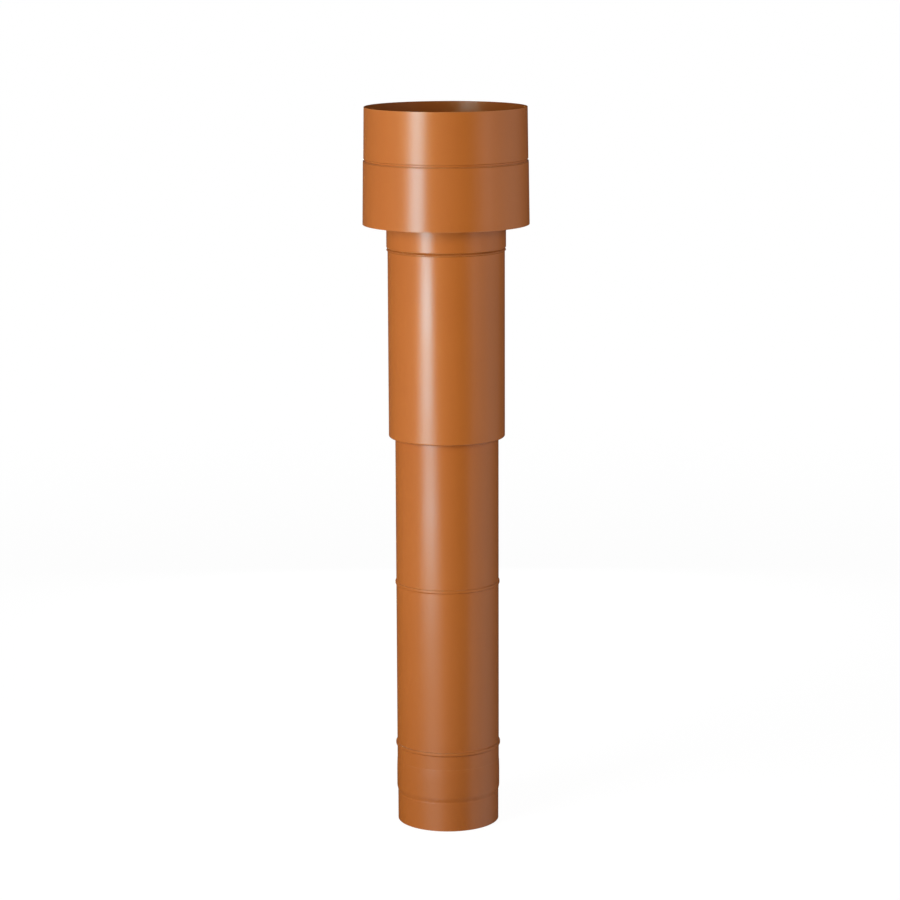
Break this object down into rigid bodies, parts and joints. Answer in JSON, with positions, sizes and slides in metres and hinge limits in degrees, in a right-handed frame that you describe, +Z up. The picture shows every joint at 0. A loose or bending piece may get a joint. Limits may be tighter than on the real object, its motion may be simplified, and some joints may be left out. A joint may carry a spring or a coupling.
{
  "type": "ventilation pipe",
  "caption": "Upright round roof ventilation pipe of painted sheet steel: a straight duct with rolled beads and a male lower end, a wider outer casing and an open ring hood round the top.",
  "frame": {"origin": "centre of the lower edge of the male end, on the surface that the pipe stands on", "axes": "+Z up along the pipe's axis, from the male end to the hood; -Y is the front"},
  "size_m": [0.2576, 0.2576, 1.13],
  "materials": {
    "duct_paint": "semi-gloss orange-brown coated sheet steel",
    "casing_paint": "semi-gloss orange-brown coated sheet steel",
    "hood_paint": "semi-gloss orange-brown coated sheet steel",
    "inner_paint": "orange-brown coated sheet steel, out of sight inside the hood"
  },
  "bodies": {
    "root": {"duct_pipe": "duct_paint", "end_spigot": "duct_paint", "casing": "casing_paint", "neck_collar": "casing_paint", "mouth_ring": "inner_paint", "hood_upper_ring": "hood_paint", "hood_lower_ring": "hood_paint", "hood_bracket_1": "inner_paint", "hood_bracket_2": "inner_paint", "hood_bracket_3": "inner_paint"}
  },
  "joints": []
}
